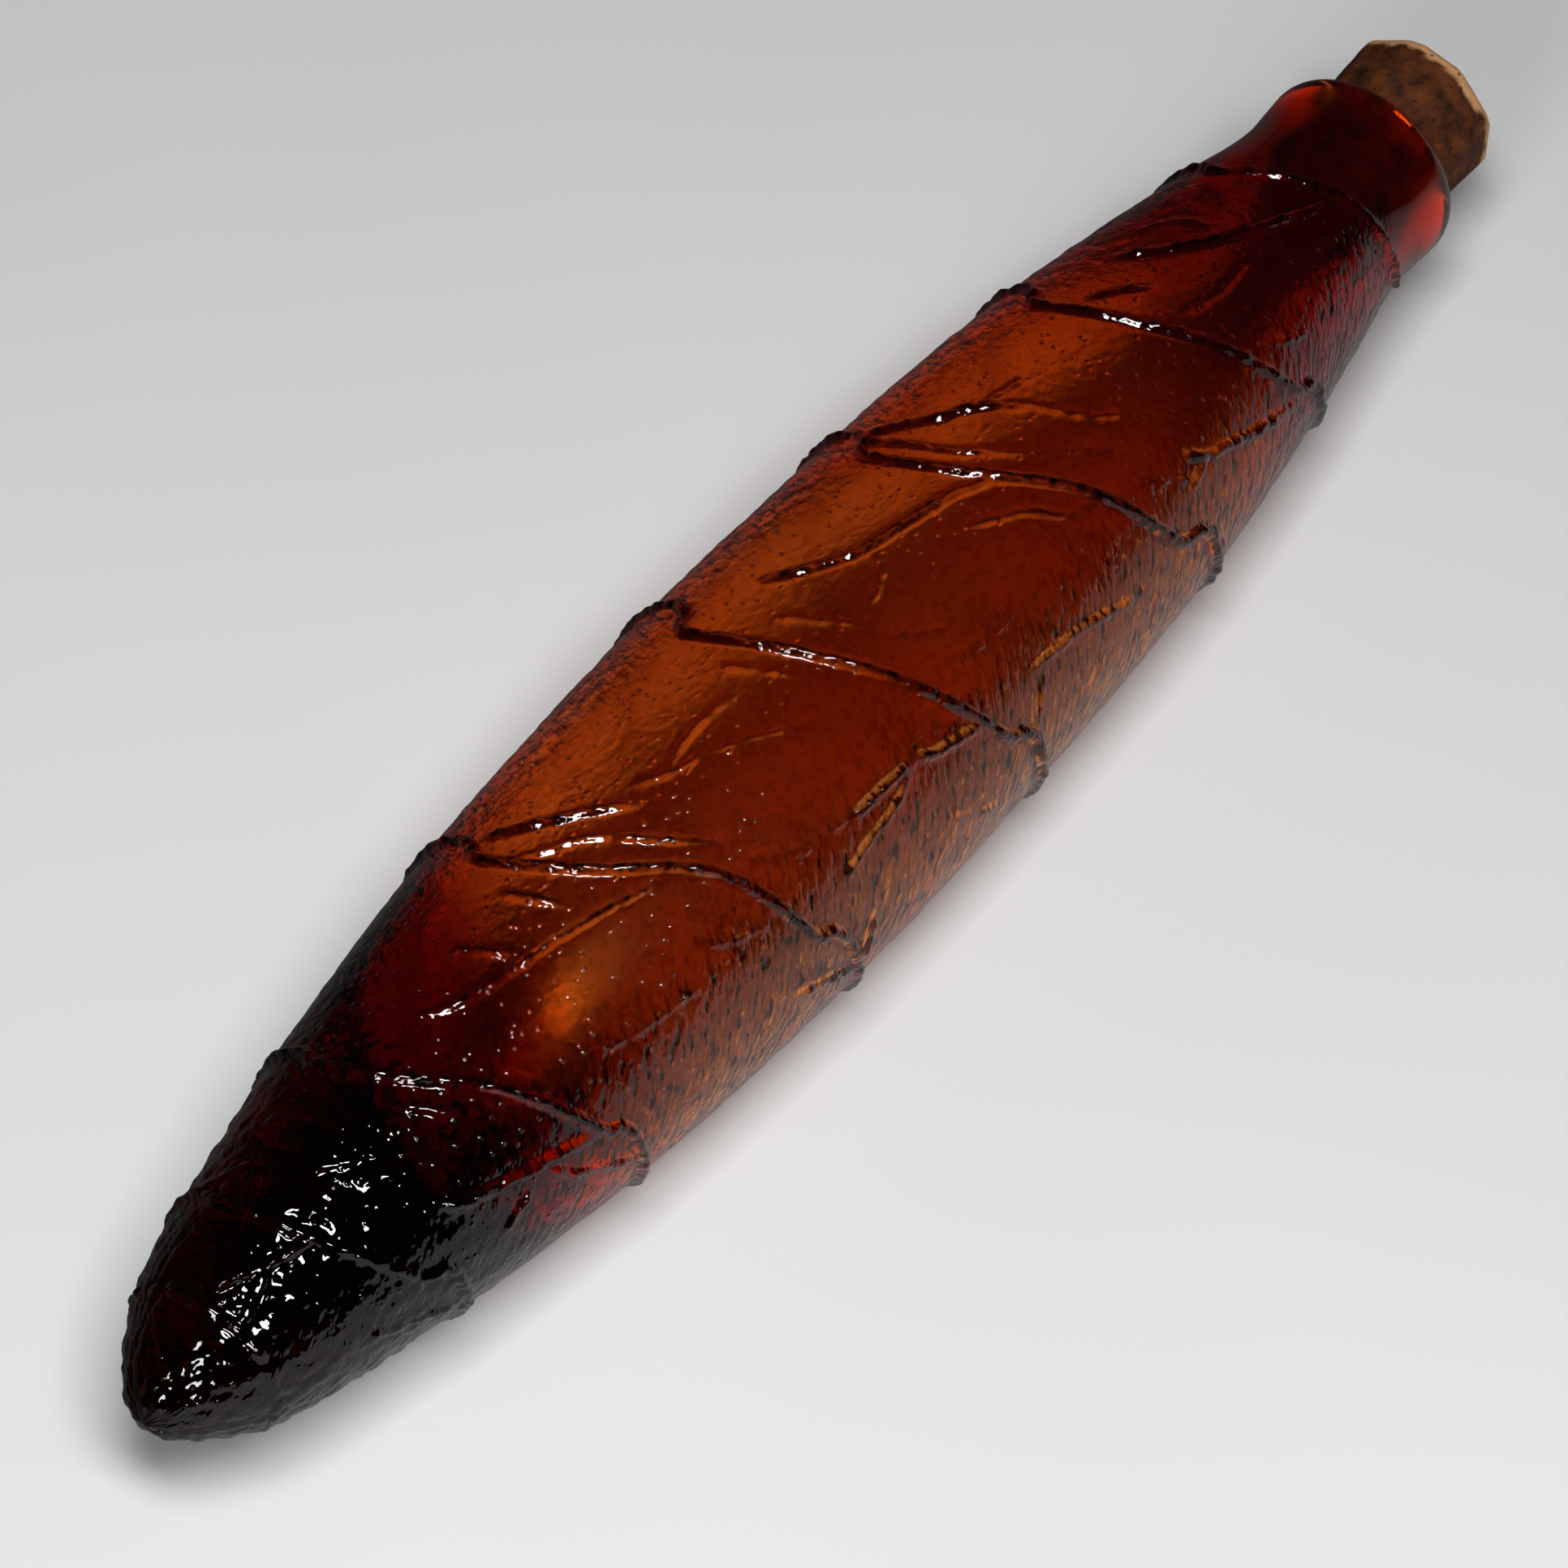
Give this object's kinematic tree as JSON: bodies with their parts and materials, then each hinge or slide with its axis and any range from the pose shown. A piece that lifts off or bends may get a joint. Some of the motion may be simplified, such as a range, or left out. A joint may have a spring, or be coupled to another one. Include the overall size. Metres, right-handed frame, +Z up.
{
  "type": "figural glass bottle",
  "caption": "Cigar-shaped amber glass bottle with moulded leaf relief, lying on its side, closed by a tapered whittled cork.",
  "frame": {"origin": "middle of the whole object's length and width, on the surface that it lies on", "axes": "+X along the bottle's axis, from the tip to the mouth and cork; +Z up; +Y to the left when looking along +X"},
  "size_m": [0.142, 0.0272, 0.0271],
  "materials": {
    "amber_glass": "mould-blown amber glass, glossy, with a fire-polished lip",
    "natural_cork": "aged natural cork, whittled by hand, paler where its outer edge is worn"
  },
  "bodies": {
    "bottle": {"bottle": "amber_glass"},
    "cork": {"cork": "natural_cork"}
  },
  "joints": [
    {"name": "cork_pull", "type": "slide", "parent": "bottle", "child": "cork", "axis": [1, 0, 0], "range_m": [0, 0.025]}
  ]
}
